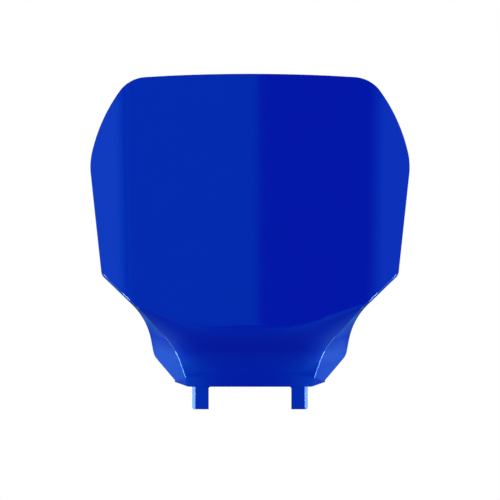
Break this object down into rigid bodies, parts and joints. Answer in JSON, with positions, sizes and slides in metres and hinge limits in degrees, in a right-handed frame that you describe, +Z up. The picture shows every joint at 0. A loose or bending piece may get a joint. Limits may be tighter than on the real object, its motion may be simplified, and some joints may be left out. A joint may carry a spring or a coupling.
{
  "type": "racing number board",
  "caption": "One-piece moulded front number board with swept wings, a recessed neck, side flanges, plug-in legs and a rear screw tongue.",
  "frame": {"origin": "midway between the two legs, at their lower ends and in line with their front walls", "axes": "+Z up towards the top edge, -Y out of the front face, +X across the board"},
  "size_m": [0.2396, 0.0525, 0.2514],
  "materials": {
    "board": "glossy injection-moulded polypropylene, dyed through"
  },
  "bodies": {
    "root": {"number_board": "board"}
  },
  "joints": []
}
